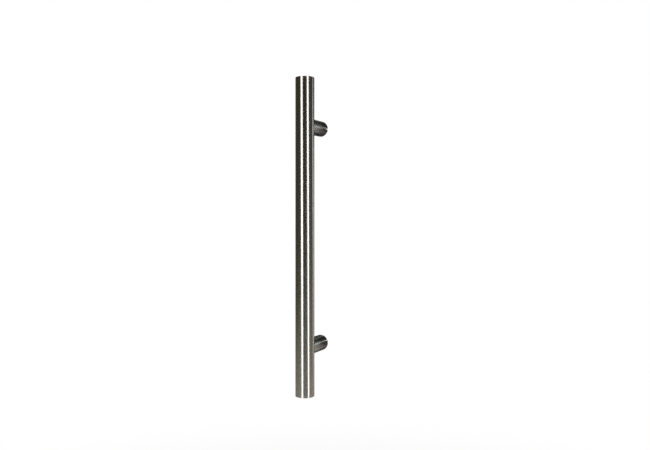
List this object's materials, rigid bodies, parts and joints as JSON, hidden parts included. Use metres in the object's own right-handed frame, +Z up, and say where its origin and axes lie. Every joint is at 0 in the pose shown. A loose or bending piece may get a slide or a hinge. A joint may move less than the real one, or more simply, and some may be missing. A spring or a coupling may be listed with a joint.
{
  "type": "gate pull handle",
  "caption": "Straight round T-bar pull handle with flat ends, on plain round standoffs that hide threaded fixing bushes.",
  "frame": {"origin": "on the gate's face, halfway between the two fixing holes", "axes": "+X across the gate's face, +Y into the gate along the fixing bolts, +Z up along the bar"},
  "size_m": [0.03, 0.07, 0.5],
  "materials": {
    "satin_steel": "satin, brushed round the bar",
    "turned_steel": "satin, fine turning marks round the post",
    "fixing_steel": "plain machined stainless steel",
    "gasket_rubber": "matt black rubber"
  },
  "bodies": {
    "root": {"grip_tube": "satin_steel", "top_end_cap": "satin_steel", "bottom_end_cap": "satin_steel", "upper_standoff": "turned_steel", "lower_standoff": "turned_steel", "upper_base_gasket": "gasket_rubber", "lower_base_gasket": "gasket_rubber", "upper_fixing_bush": "fixing_steel", "lower_fixing_bush": "fixing_steel", "upper_grub_screw": "fixing_steel", "lower_grub_screw": "fixing_steel", "upper_clamp_screw": "fixing_steel", "lower_clamp_screw": "fixing_steel", "upper_lock_washer": "fixing_steel", "lower_lock_washer": "fixing_steel", "upper_flat_washer": "fixing_steel", "lower_flat_washer": "fixing_steel", "upper_saddle_nut": "fixing_steel", "lower_saddle_nut": "fixing_steel"}
  },
  "joints": []
}
